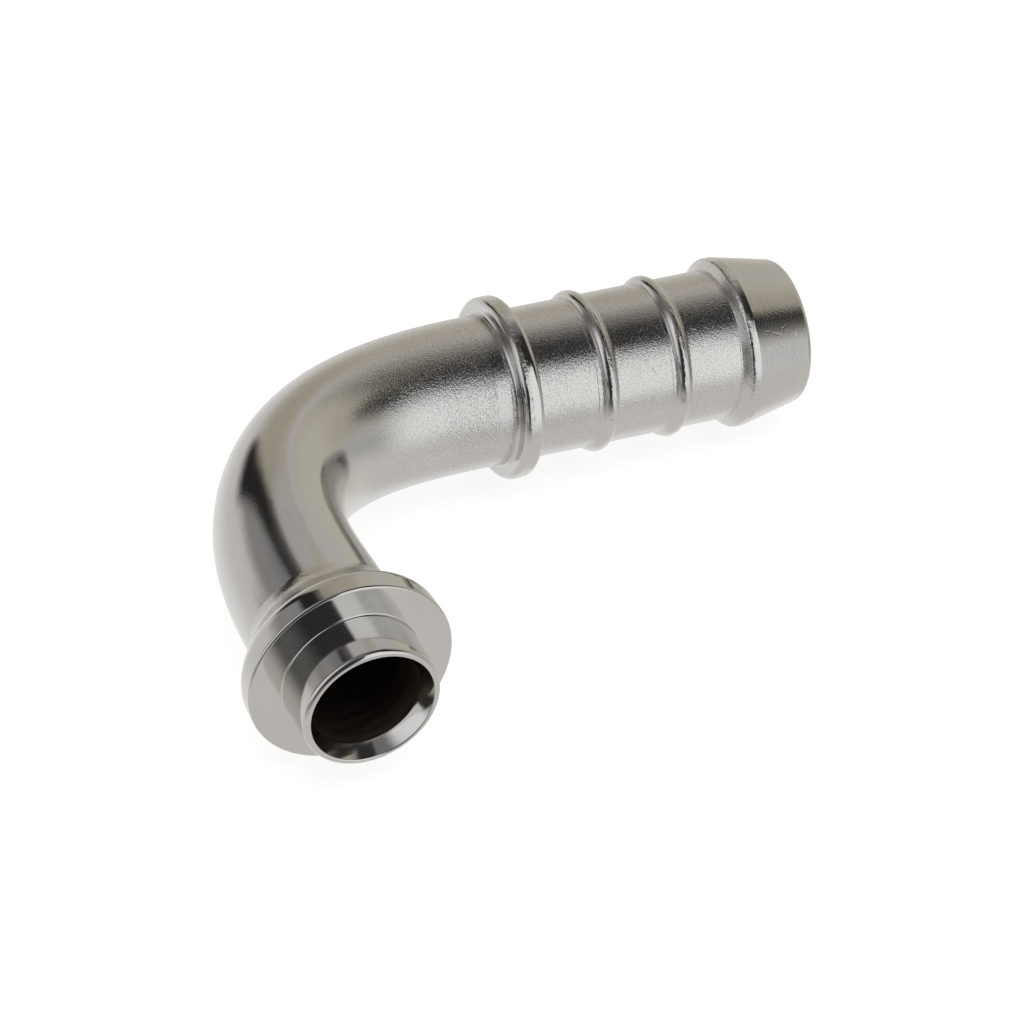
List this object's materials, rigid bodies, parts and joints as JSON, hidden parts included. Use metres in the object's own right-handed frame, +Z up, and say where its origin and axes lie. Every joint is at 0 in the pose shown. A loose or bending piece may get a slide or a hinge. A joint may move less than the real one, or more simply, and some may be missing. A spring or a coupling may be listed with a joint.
{
  "type": "elbow hose barb",
  "caption": "Right-angle plated hose fitting with a ribbed barb tail and hose stop, a smooth round bend, a flared collar and a short open spigot.",
  "frame": {"origin": "centre of the collar's flat sealing face, on the axis of the union leg's bore", "axes": "+Z up while the elbow lies on its side on its collar, its hose stop bead and its last barb; +X along the level direction of the hose leg, towards the barb; the union leg points to -Y"},
  "size_m": [0.0595, 0.0411, 0.017],
  "materials": {
    "nickel_plated_brass": "satin nickel plating over machined brass"
  },
  "bodies": {
    "root": {"elbow_hose_barb": "nickel_plated_brass"}
  },
  "joints": []
}
